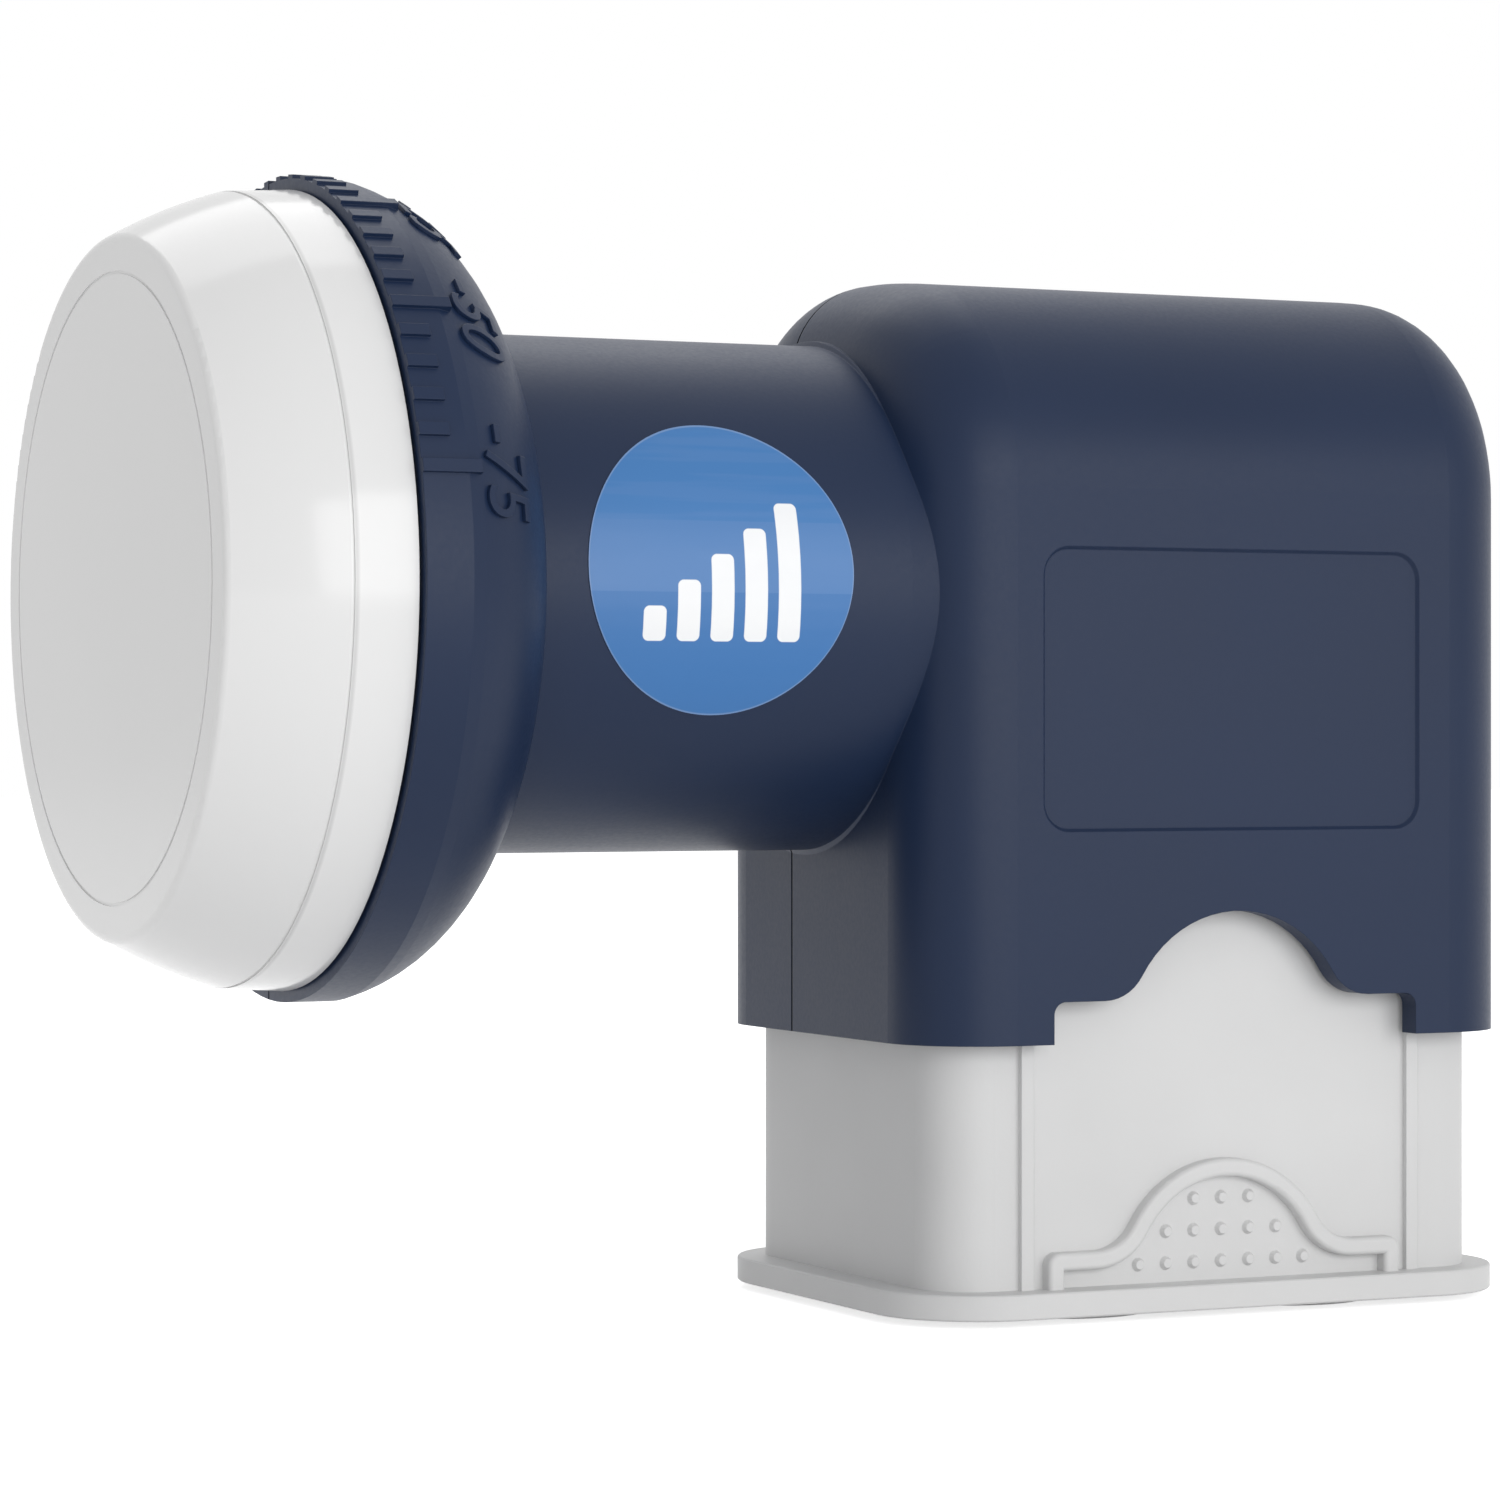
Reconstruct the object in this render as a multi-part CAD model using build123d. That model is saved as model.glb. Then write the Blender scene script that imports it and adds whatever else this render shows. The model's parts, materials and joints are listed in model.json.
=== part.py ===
"""Quad satellite LNB for a 40 mm feed clamp.

X runs rearwards along the feed axis, the cap faces -X, the badge side is -Y and the cable
outlets face -Z.  The origin is on the feed axis, in the middle of the clamped neck.
"""
import os

from build123d import *

# Neck that sits in the feed clamp
neck_radius = 20.0
neck_length = 31.0
neck_wall = 2.0
neck_blend = 0.4
neck_flare_sink = 0.4
neck_draft = 0.3

# Collar with the skew scale, in front of the neck
collar_radius = 31.05
collar_length = 13.05
collar_band = 3.55
collar_bulge = 2.3
collar_knee = 0.075
collar_bore_depth = 5.5
collar_wall = 2.0
collar_seat_lip = 1.85

# Skew scale ticks on the collar
tick_step = 5
tick_limit = 75
tick_major = 25
tick_width = 1.0
tick_height = 0.3
tick_long = 4.5
tick_short = 2.3

# Feed cap
cap_gap = 0.25
cap_radius = 30.2
cap_depth = 12.95
cap_band = 4.9
cap_band_draft = 0.3
cap_face_inset = 3.95
cap_face_edge = 0.8
cap_flank_bulge = 0.25
cap_wall = 1.8
cap_spigot_wall = 2.4
cap_line_radius = 23.5
cap_line_width = 0.25
cap_line_depth = 0.12
cap_spigot_clearance = 0.15
cap_spigot_length = 4.9
seal_section = 1.6
seal_squeeze = 0.02
seal_groove_clearance = 0.1

# Housing, split a little beyond the feed axis
housing_length = 53.7
housing_near = 22.35
housing_far = 18.2
housing_top = 25.28
housing_bottom = -34.55
housing_seam = 2.1
housing_seam_gap = 0.12
housing_wall = 2.0
housing_end_wall = 1.5
housing_crown_radius = 74.5
housing_shoulder_radius = 16.6
housing_edge_radius = 7.4
neck_fairing_reach = 9.0
neck_fairing_run = 14.0
neck_fairing_drop = 5.0

# Badge recess on the near face
badge_width = 34.0
badge_height = 22.0
badge_top = 3.65
badge_depth = 0.3
badge_slope = 40.0
badge_corner = 2.0
badge_offset = -0.3

# Grip cut-out in the lower edge of the housing
grip_half_width = 16.3
grip_shoulder = 3.25
grip_arch_radius = 10.0
grip_corner = 1.0
grip_blend = 3.8

# Weather shield that slides in the housing
shield_gap = 0.75
shield_wall = 1.6
shield_travel = 18.7
shield_stop_gap = 0.25
shield_top = -23.0
shield_front_drop = 7.6
plate_thickness = 2.0
plate_overhang = 0.45
plate_edge = 0.12
plate_corner = 8.6
guide_rib_width = 1.1
guide_rib_height = 0.5
guide_rib_spacing = 34.8
bead_width = 1.4
bead_height = 1.2
bead_round = 0.4
bead_clearance = 0.45
dot_radius = 0.72
dot_height = 0.4
dot_pitch = 2.48
dot_rows = (7, 5, 3)
dot_first_row = 1.5
lug_width = 1.8
lug_height = 3.0
lug_depth = 1.4
lug_spacing = 36.2
lug_clearance = 0.3

# F connectors
connector_pitch_x = 20.1
connector_pitch_y = 18.4
connector_thread_radius = 4.76
connector_thread_length = 11.0
connector_bore_radius = 3.6
connector_flange_width = 11.0
connector_flange_height = 2.2
connector_washer_height = 0.8
connector_washer_radius = 6.4
connector_stud_radius = 4.4
connector_chamfer = 0.3
insulator_recess = 1.2
contact_radius = 0.5
contact_recess = 2.5
fit_clearance = 0.03
cable_hole_radius = 6.7
cable_lip_radius = 7.5
cable_lip_height = 0.6

# Die-cast feed and chassis
waveguide_radius = 8.74
waveguide_wall = 1.46
horn_cap_clearance = 6.2
horn_rim = 1.5
horn_depth = 9.0
horn_floor = 2.0
horn_ring_wall = 1.2
horn_rings = 3
horn_cap_gap = 2.0
horn_throat = 5.0
chassis_front_gap = 5.0
chassis_rear_gap = 8.7
chassis_width = 29.8
chassis_top = 14.0
chassis_floor = -30.0
chassis_wall = 1.8
chassis_front_wall = 4.0
chassis_corner = 2.0
lid_thickness = 2.0
gasket_thickness = 0.8
gasket_width = 1.6
lid_screw_level = -19.5
screw_boss_radius = 2.2
screw_radius = 1.1
screw_head_radius = 2.0
screw_head_height = 1.3
screw_slot_width = 0.6
screw_slot_depth = 0.6
screw_grip = 6.0
screw_tip_gap = 0.5

# Boards
board_thickness = 1.0
board_margin = 0.3
rf_board_offset = 3.85
rf_board_bottom = -14.0
probe_width = 2.0
probe_gap = 1.5
probe_thickness = 0.3
backshort_depth = 6.0
cover_thickness = 1.6
switch_board_standoff = 3.0
standoff_radius = 2.2
chip_size = 6.0
chip_height = 1.2
link_pin_size = 0.64
link_pin_pitch = 2.54
link_pins = 6
link_pin_reach = 2.5

# Ribs and posts inside the housing
neck_rib_width = 2.0
neck_rib_offset = 9.0
neck_rib_clearance = 0.05
post_radius = 2.2
post_pin_radius = 1.2
post_pin_length = 4.0
post_clearance = 0.1
rest_rib_length = 16.0
rest_rib_height = 2.0
rest_rib_level = 3.0
rest_rib_clearance = 0.05
front_post = (9.0, 18.2)
rear_post = (40.5, 18.0)

# Modelling allowances: how far cutters overshoot, how deep ribs root in what carries them
overcut = 1.0
rooting = 0.5
touch = 0.01

# Places that follow from the sizes above
housing_front = neck_length / 2
housing_rear = housing_front + housing_length
housing_mid_x = (housing_front + housing_rear) / 2
housing_mid_y = (housing_far - housing_near) / 2
collar_back = -neck_length / 2
collar_front = collar_back - collar_length
collar_crease = collar_front + collar_band
collar_bore = collar_radius - collar_wall
cap_back = collar_front - cap_gap
cap_front = cap_back - cap_depth
cap_face_radius = cap_radius - cap_face_inset
horn_radius = cap_radius - horn_cap_clearance
horn_ring_step = (horn_radius - horn_rim - waveguide_radius) / horn_rings
plate_top = housing_bottom - shield_travel - shield_stop_gap
plate_bottom = plate_top - plate_thickness
waveguide_outer = waveguide_radius + waveguide_wall
chassis_front = housing_front + chassis_front_gap
chassis_rear = housing_rear - chassis_rear_gap
rf_board_front = housing_mid_x - rf_board_offset
switch_board_bottom = chassis_floor + chassis_wall + switch_board_standoff
switch_board_top = switch_board_bottom + board_thickness
connector_seat = chassis_floor - connector_washer_height
connector_tip = connector_seat - connector_flange_height - connector_thread_length
connector_end = chassis_floor + chassis_wall
connector_spots = [
    (housing_mid_x + sx * connector_pitch_x / 2, housing_mid_y + sy * connector_pitch_y / 2)
    for sx in (-1, 1)
    for sy in (-1, 1)
]
reach = housing_length + housing_near + cap_depth + collar_length + neck_length


def block(x0, x1, y0, y1, z0, z1):
    """A plain box between two corners."""
    size = (x1 - x0, y1 - y0, z1 - z0)
    return Pos((x0 + x1) / 2, (y0 + y1) / 2, (z0 + z1) / 2) * Box(*size)


def rounded_block(x0, x1, y0, y1, z0, z1, corner):
    """A box whose upright edges are rounded."""
    outline = Pos((x0 + x1) / 2, (y0 + y1) / 2, z0) * RectangleRounded(x1 - x0, y1 - y0, corner)
    return extrude(outline, z1 - z0)


def rod(x, y, z0, z1, radius):
    """An upright round bar."""
    return Pos(x, y, (z0 + z1) / 2) * Cylinder(radius, z1 - z0)


def axial_rod(x0, x1, radius, y=0.0, z=0.0):
    """A round bar along the feed axis, or beside it."""
    return Pos((x0 + x1) / 2, y, z) * Rot(Y=90) * Cylinder(radius, x1 - x0)


def cross_rod(x, z, y0, y1, radius):
    """A round bar across the housing."""
    return Pos(x, (y0 + y1) / 2, z) * Rot(X=90) * Cylinder(radius, y1 - y0)


def turned(points):
    """A solid of revolution about the feed axis from a closed outline of (x, radius)."""
    return revolve(make_face(Polyline(*points, close=True)), Axis.X)


def side_slab(profile, y0, y1, taper=0):
    """A side profile drawn in X and Z, given its width in Y."""
    return extrude(Plane.XZ.offset(-y1) * profile, y1 - y0, taper=taper)


def arched_section(inset, bottom):
    """The housing seen from the front: upright sides, round shoulders and a crown over the seam."""
    near = inset - housing_near
    far = housing_far - inset
    height = housing_top - bottom
    walls = Pos((near + far) / 2, bottom + height / 2) * Rectangle(far - near, height)
    crown = Pos(housing_seam, housing_top - housing_crown_radius) * Circle(housing_crown_radius - inset)
    section = walls & crown
    shoulders = [v for v in section.vertices() if v.Y > bottom + height / 2]
    return fillet(shoulders, housing_shoulder_radius - inset)


def arched_block(inset, end_inset, bottom):
    """The arched section given its length, with the outlines of both ends rounded."""
    x0 = housing_front + end_inset
    x1 = housing_rear - end_inset
    front = Plane((x0, 0, 0), x_dir=(0, 1, 0), z_dir=(1, 0, 0))
    solid = extrude(front * arched_section(inset, bottom), x1 - x0)
    ends = solid.edges().group_by(Axis.X)
    outline = [edge for edge in ends[0] + ends[-1] if edge.center().Z > bottom + touch]
    return fillet(outline, housing_edge_radius - inset)


def housing_form():
    """The outer form of the housing."""
    return arched_block(0, 0, housing_bottom)


def housing_cavity():
    """The room inside the housing, open at the foot."""
    return arched_block(housing_wall, housing_end_wall, housing_bottom - overcut)


def collar_and_neck():
    """The turned outer form of the collar, with a narrow cone under the tick ends, and of the neck."""
    clamped_end = housing_front - neck_blend
    fairing = housing_front + neck_fairing_reach
    tail = fairing + neck_fairing_run
    band = Polyline(
        (tail, 0), (collar_front, 0), (collar_front, collar_radius), (collar_crease, collar_radius)
    )
    arch = SagittaArc((collar_crease, collar_radius), (collar_back, neck_radius), collar_bulge)
    knee = Line(arch @ 0, arch @ collar_knee)
    shoulder = ThreePointArc(knee @ 1, arch @ 0.5, arch @ 1)
    neck = Polyline(
        (collar_back, neck_radius),
        (clamped_end, neck_radius),
        (fairing, neck_radius - neck_draft),
        (tail, neck_radius - neck_fairing_drop),
        (tail, 0),
    )
    return revolve(make_face(band + knee + shoulder + neck), Axis.X)


def neck_flare():
    """The small flare of the neck above and below, where it meets the front wall."""
    sides = neck_radius - neck_flare_sink
    front = Plane((housing_front - neck_blend, 0, 0), x_dir=(0, 1, 0), z_dir=(1, 0, 0))
    wall = front.offset(neck_blend)
    mouth = wall * Ellipse(sides, neck_radius + neck_blend)
    return loft([front * Ellipse(sides, sides), mouth]) + extrude(mouth, housing_end_wall)


def feed_bore():
    """The room inside the collar and the neck."""
    bore_end = collar_front + collar_bore_depth
    lip = collar_bore - collar_seat_lip
    neck_bore = neck_radius - neck_wall
    return turned(
        [
            (collar_front - overcut, 0),
            (collar_front - overcut, collar_bore),
            (bore_end, collar_bore),
            (bore_end, lip),
            (collar_back - collar_wall, neck_radius),
            (collar_back - collar_wall / 2, neck_bore),
            (housing_front + housing_end_wall + overcut, neck_bore),
            (housing_front + housing_end_wall + overcut, 0),
        ]
    )


def scale_ticks():
    """The raised skew scale on the collar, one tick every few degrees from the top."""
    ticks = []
    for angle in range(-tick_limit, tick_limit + 1, tick_step):
        length = tick_long if angle % tick_major == 0 else tick_short
        end = collar_front + length
        root = collar_radius - 2 * tick_height
        tick = block(
            collar_front, end, -tick_width / 2, tick_width / 2, root, collar_radius + tick_height
        )
        ticks.append(Rot(X=-angle) * tick)
    return ticks


def grip_outline(clearance, foot):
    """Stepped arch of the grip, with its foot line at z = 0, drawn in X and Z."""
    half = grip_half_width - clearance
    shoulder = grip_shoulder - clearance
    step = Pos(0, (shoulder - foot) / 2) * Rectangle(2 * half, shoulder + foot)
    arch = Circle(grip_arch_radius - clearance) & Pos(0, grip_arch_radius) * Rectangle(
        2 * grip_arch_radius, 2 * grip_arch_radius
    )
    outline = step + arch
    corners = [v for v in outline.vertices() if abs(v.Y - shoulder) < touch]
    inner = [v for v in corners if abs(v.X) < half - touch]
    outline = fillet(inner, grip_blend)
    ends = [v for v in outline.vertices() if abs(v.X) > half - touch]
    outer = [v for v in ends if abs(v.Y - shoulder) < touch]
    return fillet(outer, grip_corner)


def on_wall(sketch, z, y0, y1, taper=0):
    """A sketch in X and Z about the middle of the housing, given its depth in Y."""
    return side_slab(Pos(housing_mid_x, z) * sketch, y0, y1, taper)


def badge_recess():
    """The shallow bare panel on the near face, with sloping edges."""
    floor = RectangleRounded(badge_width - 2 * badge_depth, badge_height - 2 * badge_depth, badge_corner)
    floor = Pos(badge_offset, badge_top - badge_height / 2) * floor
    return on_wall(floor, 0, -housing_near - overcut, badge_depth - housing_near, -badge_slope)


def lug_slots():
    """Blind slots in the side walls, in which the lugs of the shield run and stop."""
    half = lug_width / 2 + lug_clearance
    low = shield_top - lug_height - shield_stop_gap
    high = shield_top + shield_travel + lug_clearance
    depth = lug_depth - shield_gap + lug_clearance
    slots = []
    for sx in (-1, 1):
        x = housing_mid_x + sx * lug_spacing / 2
        near = housing_wall - housing_near
        far = housing_far - housing_wall
        slots.append(block(x - half, x + half, near - depth, near + overcut, low, high))
        slots.append(block(x - half, x + half, far - overcut, far + depth, low, high))
    return slots


def neck_ribs():
    """Rings inside the neck that hold the waveguide."""
    ribs = []
    for x in (-neck_rib_offset, neck_rib_offset):
        ring = axial_rod(x - neck_rib_width / 2, x + neck_rib_width / 2, neck_radius - neck_wall / 2)
        hole = axial_rod(x - neck_rib_width, x + neck_rib_width, waveguide_outer + neck_rib_clearance)
        ribs.append(ring - hole)
    return ribs


def rest_rib(y0, y1):
    """A rib on the side wall against which the chassis rests."""
    middle = (chassis_front + chassis_rear) / 2
    half = rest_rib_length / 2
    low = rest_rib_level - rest_rib_height / 2
    return block(middle - half, middle + half, y0, y1, low, low + rest_rib_height)


def housing_halves():
    """Near and far shells: each has half the neck and half the collar."""
    head = housing_form()
    form = head + collar_and_neck() + neck_flare()
    form = form + scale_ticks()
    shell = form - housing_cavity() - feed_bore()
    shell = shell + neck_ribs()
    shell = shell - lug_slots()
    grip = grip_outline(0, overcut)
    near_edge = housing_edge_radius - housing_near
    far_edge = housing_far - housing_edge_radius
    shell = shell - on_wall(grip, housing_bottom, -housing_near - overcut, near_edge)
    shell = shell - on_wall(grip, housing_bottom, far_edge, housing_far + overcut)
    shell = shell - badge_recess()
    seam_half = housing_seam_gap / 2
    near = shell & block(-reach, reach, -reach, housing_seam - seam_half, -reach, reach)
    far = shell & block(-reach, reach, housing_seam + seam_half, reach, -reach, reach)
    near_wall = housing_wall / 2 - housing_near
    far_wall = housing_far - housing_wall / 2
    chassis_near = housing_mid_y - chassis_width / 2 - rest_rib_clearance
    chassis_far = housing_mid_y + chassis_width / 2 + rest_rib_clearance
    near = near + rest_rib(near_wall, chassis_near)
    far = far + rest_rib(chassis_far, far_wall)
    for dx, z in (front_post, rear_post):
        x = housing_front + dx
        pin_end = housing_seam + post_pin_length
        near = near + (cross_rod(x, z, near_wall, housing_seam, post_radius) & head)
        near = near + cross_rod(x, z, housing_seam - overcut, pin_end, post_pin_radius)
        far = far + (cross_rod(x, z, housing_seam, far_wall, post_radius) & head)
        hole_end = pin_end + post_clearance
        far = far - cross_rod(x, z, housing_seam - overcut, hole_end, post_pin_radius + post_clearance)
    return near, far


def feed_cap():
    """The thin dome-fronted cap, turned, with its spigot in the collar."""
    spigot = collar_bore - cap_spigot_clearance
    spigot_back = cap_back + cap_gap + cap_spigot_length
    spigot_bore = spigot - cap_spigot_wall
    line_front = cap_back - cap_band
    line_back = line_front + cap_line_width
    band_front = cap_radius - cap_band_draft
    line_floor = band_front - cap_line_depth
    corner = (cap_front, cap_face_radius)
    flank_end = (line_front, line_floor + cap_line_depth / 2)
    face = Line((cap_front, 0), corner)
    flank = SagittaArc(corner, flank_end, cap_flank_bulge)
    back = Polyline(
        flank_end,
        (line_front, line_floor),
        (line_back, line_floor),
        (line_back, band_front),
        (cap_back, cap_radius),
        (cap_back, spigot),
        (spigot_back, spigot),
        (spigot_back, spigot_bore),
        (cap_back, spigot_bore),
        (cap_back - cap_wall, cap_radius - cap_wall),
        (line_front, line_floor - cap_wall),
        (cap_front + cap_wall, cap_face_radius - cap_wall),
        (cap_front + cap_wall, 0),
        (cap_front, 0),
    )
    outline = make_face(face + flank + back)
    outline = fillet(outline.vertices().sort_by_distance((*corner, 0))[0], cap_face_edge)
    body = revolve(outline, Axis.X)
    line_end = cap_front + cap_line_depth
    ring = axial_rod(cap_front - overcut, line_end, cap_line_radius + cap_line_width / 2)
    core = axial_rod(cap_front - 2 * overcut, line_end + overcut, cap_line_radius - cap_line_width / 2)
    return body - (ring - core) - seal_groove()


def seal_centre():
    """Where the seal lies between the spigot and the bore."""
    return cap_back + cap_gap + cap_spigot_length / 2


def seal_groove():
    """The groove in the spigot for the seal."""
    half = seal_section / 2 + seal_groove_clearance
    floor = collar_bore - seal_squeeze - seal_section
    x = seal_centre()
    return axial_rod(x - half, x + half, collar_bore) - axial_rod(x - 2 * half, x + 2 * half, floor)


def cap_seal():
    """The rubber ring that closes the cap."""
    middle = collar_bore - seal_squeeze - seal_section / 2
    return revolve(Pos(seal_centre(), middle) * Rectangle(seal_section, seal_section), Axis.X)


def sleeve_bounds(inset):
    """Outline of the shield's sleeve, or of the room inside it."""
    end = housing_end_wall + shield_gap + inset
    side = housing_wall + shield_gap + inset
    return housing_front + end, housing_rear - end, side - housing_near, housing_far - side


def grip_bead():
    """The outline of the raised edge of the grip, with its foot inside the plate."""
    outer = grip_outline(bead_clearance, (plate_thickness + bead_width) / 2)
    return outer - offset(outer, -bead_width)


def weather_shield():
    """The sliding sleeve with its foot plate, guide ribs, grips and cable holes."""
    corner = housing_edge_radius - housing_wall - shield_gap
    outer = sleeve_bounds(0)
    inner = sleeve_bounds(shield_wall)
    shield = rounded_block(*outer, plate_top, shield_top, corner)
    room = rounded_block(*inner, plate_top, shield_top + overcut, corner - shield_wall)
    shield = shield - room
    front_top = shield_top - shield_front_drop
    shield = shield - block(
        outer[0] - overcut,
        outer[0] + corner,
        outer[2] + corner,
        outer[3] - corner,
        front_top,
        shield_top + overcut,
    )
    plate = rounded_block(
        housing_front - plate_overhang,
        housing_rear + plate_overhang,
        -housing_near,
        housing_far,
        plate_bottom,
        plate_top,
        plate_corner,
    )
    plate = chamfer(plate.edges().group_by(Axis.Z)[0] + plate.edges().group_by(Axis.Z)[-1], plate_edge)
    shield = shield + plate
    ring = grip_bead()
    for wall, out in ((outer[2], -1), (outer[3], 1)):
        y_in = wall - out * shield_wall / 2
        y0, y1 = sorted((y_in, wall + out * bead_height))
        bead = on_wall(ring, plate_top, y0, y1)
        rim = bead.edges().group_by(Axis.Y)[0 if out < 0 else -1]
        shield = shield + fillet(rim, bead_round)
        for sx in (-1, 1):
            x = housing_mid_x + sx * guide_rib_spacing / 2
            y_rib = wall + out * guide_rib_height
            half = guide_rib_width / 2
            y0, y1 = sorted((y_in, y_rib))
            shield = shield + block(x - half, x + half, y0, y1, plate_top - rooting, shield_top)
            x = housing_mid_x + sx * lug_spacing / 2
            y0, y1 = sorted((y_in, wall + out * lug_depth))
            half = lug_width / 2
            shield = shield + block(x - half, x + half, y0, y1, shield_top - lug_height, shield_top)
        for row, count in enumerate(dot_rows):
            for index in range(count):
                x = housing_mid_x + (index - (count - 1) / 2) * dot_pitch
                z = plate_top + dot_first_row + row * dot_pitch
                dot = Cone(dot_radius, dot_radius / 2, 2 * dot_height)
                shield = shield + Pos(x, wall, z) * Rot(X=-90 * out) * dot
    for x, y in connector_spots:
        shield = shield + rod(x, y, plate_bottom - cable_lip_height, plate_top - rooting, cable_lip_radius)
    for x, y in connector_spots:
        shield = shield - rod(x, y, plate_bottom - 2 * overcut, plate_top + overcut, cable_hole_radius)
    return shield


def horn():
    """The flared mouth with its choke rings, turned with the waveguide tube."""
    mouth = cap_front + cap_wall + horn_cap_gap
    floor = mouth + horn_depth
    back = floor + horn_floor
    body = turned(
        [
            (mouth, 0),
            (mouth, horn_radius),
            (back, horn_radius),
            (back + horn_throat, waveguide_outer),
            (chassis_front + overcut, waveguide_outer),
            (chassis_front + overcut, 0),
        ]
    )
    for ring in range(horn_rings):
        outside = horn_radius - horn_rim - ring * horn_ring_step
        inside = horn_radius - horn_rim - (ring + 1) * horn_ring_step + horn_ring_wall
        depth = horn_depth - ring * horn_rim
        groove = axial_rod(mouth - overcut, mouth + depth, outside)
        body = body - (groove - axial_rod(mouth - 2 * overcut, mouth + depth + overcut, inside))
    return body


def lid_screw_spots():
    """Where the lid is screwed to the chassis, in Y and Z."""
    half = chassis_width / 2 - screw_boss_radius
    levels = (lid_screw_level, chassis_top - screw_boss_radius)
    return [(housing_mid_y + sy * half, z) for sy in (-1, 1) for z in levels]


def board_corners():
    """Where the inner cover and the board are screwed to the chassis, in Y and Z."""
    half = chassis_width / 2 - chassis_wall - board_margin - screw_boss_radius
    low = rf_board_bottom + screw_boss_radius
    high = chassis_top - chassis_wall - board_margin - screw_boss_radius
    return [(housing_mid_y - half, low), (housing_mid_y - half, high)]


def standoff_spots():
    """Where the switch board is screwed down, in X and Y."""
    inset = chassis_wall + board_margin + standoff_radius
    half = chassis_width / 2 - inset
    x0, x1 = switch_board_span()
    ends = (x0 + standoff_radius, x1 - standoff_radius)
    return [(x, housing_mid_y + s * half) for x in ends for s in (-1, 1)]


def feed_casting():
    """Horn, waveguide and chassis box, cast in one piece and open at the rear."""
    y0 = housing_mid_y - chassis_width / 2
    y1 = housing_mid_y + chassis_width / 2
    box = block(chassis_front, chassis_rear, y0, y1, chassis_floor, chassis_top)
    box = fillet(box.edges().filter_by(Axis.X), chassis_corner)
    room = block(
        chassis_front + chassis_front_wall,
        chassis_rear + overcut,
        y0 + chassis_wall,
        y1 - chassis_wall,
        chassis_floor + chassis_wall,
        chassis_top - chassis_wall,
    )
    box = box - room
    box = box + axial_rod(chassis_front, rf_board_front, waveguide_outer)
    for y, z in board_corners():
        box = box + axial_rod(chassis_front + overcut, rf_board_front, screw_boss_radius, y, z)
    for x, y in standoff_spots():
        box = box + rod(x, y, chassis_floor + rooting, switch_board_bottom, standoff_radius)
    for y, z in lid_screw_spots():
        boss = axial_rod(chassis_rear - 2 * screw_grip, chassis_rear, screw_boss_radius, y, z)
        box = box + boss
    casting = horn() + box
    casting = casting - axial_rod(cap_front, rf_board_front + overcut, waveguide_radius)
    hole = screw_radius + fit_clearance
    for y, z in lid_screw_spots():
        casting = casting - axial_rod(chassis_rear - screw_grip, chassis_rear + overcut, hole, y, z)
    for y, z in board_corners():
        casting = casting - axial_rod(rf_board_front - screw_grip, rf_board_front + overcut, hole, y, z)
    for x, y in standoff_spots():
        hole_end = switch_board_bottom - screw_grip / 2
        casting = casting - rod(x, y, hole_end, switch_board_bottom + overcut, hole)
    stud_hole = connector_stud_radius + fit_clearance
    for x, y in connector_spots:
        casting = casting - rod(x, y, chassis_floor - overcut, connector_end + overcut, stud_hole)
    return casting


def slotted_screw(grip):
    """A pan screw under its head along +X, with its head seat at x = 0."""
    shank = axial_rod(0, grip, screw_radius)
    head = axial_rod(-screw_head_height, 0, screw_head_radius)
    slot = block(
        -screw_head_height - overcut,
        screw_slot_depth - screw_head_height,
        -screw_slot_width / 2,
        screw_slot_width / 2,
        -screw_head_radius,
        screw_head_radius,
    )
    return shank + head - slot


def rear_lid():
    """The cast lid on the back of the chassis."""
    lid = chassis_plate(lid_front(), lid_thickness)
    hole = screw_radius + fit_clearance
    for y, z in lid_screw_spots():
        lid = lid - axial_rod(lid_front() - overcut, lid_front() + lid_thickness + overcut, hole, y, z)
    return lid


def lid_front():
    """Where the lid meets its gasket."""
    return chassis_rear + gasket_thickness


def chassis_plate(x, thickness):
    """A plate with the outline of the chassis."""
    y0 = housing_mid_y - chassis_width / 2
    y1 = housing_mid_y + chassis_width / 2
    plate = block(x, x + thickness, y0, y1, chassis_floor, chassis_top)
    return fillet(plate.edges().filter_by(Axis.X), chassis_corner)


def lid_gasket():
    """The flat seal between the lid and the chassis."""
    gasket = chassis_plate(chassis_rear, gasket_thickness)
    y0 = housing_mid_y - chassis_width / 2 + gasket_width
    y1 = housing_mid_y + chassis_width / 2 - gasket_width
    z0 = chassis_floor + gasket_width
    z1 = chassis_top - gasket_width
    x0 = chassis_rear - overcut
    x1 = lid_front() + overcut
    window = block(x0, x1, y0, y1, z0, z1)
    for y, z in lid_screw_spots():
        window = window - axial_rod(x0 - overcut, x1 + overcut, screw_boss_radius, y, z)
    gasket = gasket - window
    hole = screw_radius + fit_clearance
    for y, z in lid_screw_spots():
        gasket = gasket - axial_rod(x0, x1, hole, y, z)
    return gasket


def lid_screws():
    """The screws of the lid."""
    grip = lid_thickness + gasket_thickness + screw_grip - screw_tip_gap
    seat = lid_front() + lid_thickness
    screw = Rot(Z=180) * slotted_screw(grip)
    return [Pos(seat, y, z) * screw for y, z in lid_screw_spots()]


def board_sides():
    """The Y limits of the boards inside the chassis."""
    half = chassis_width / 2 - chassis_wall - board_margin
    return housing_mid_y - half, housing_mid_y + half


def rf_board():
    """The receiver board across the end of the waveguide."""
    y0, y1 = board_sides()
    top = chassis_top - chassis_wall - board_margin
    board = block(rf_board_front, rf_board_front + board_thickness, y0, y1, rf_board_bottom, top)
    hole = screw_radius + fit_clearance
    for y, z in board_corners():
        board = board - axial_rod(rf_board_front - overcut, rf_board_front + 2 * overcut, hole, y, z)
    return board


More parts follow.
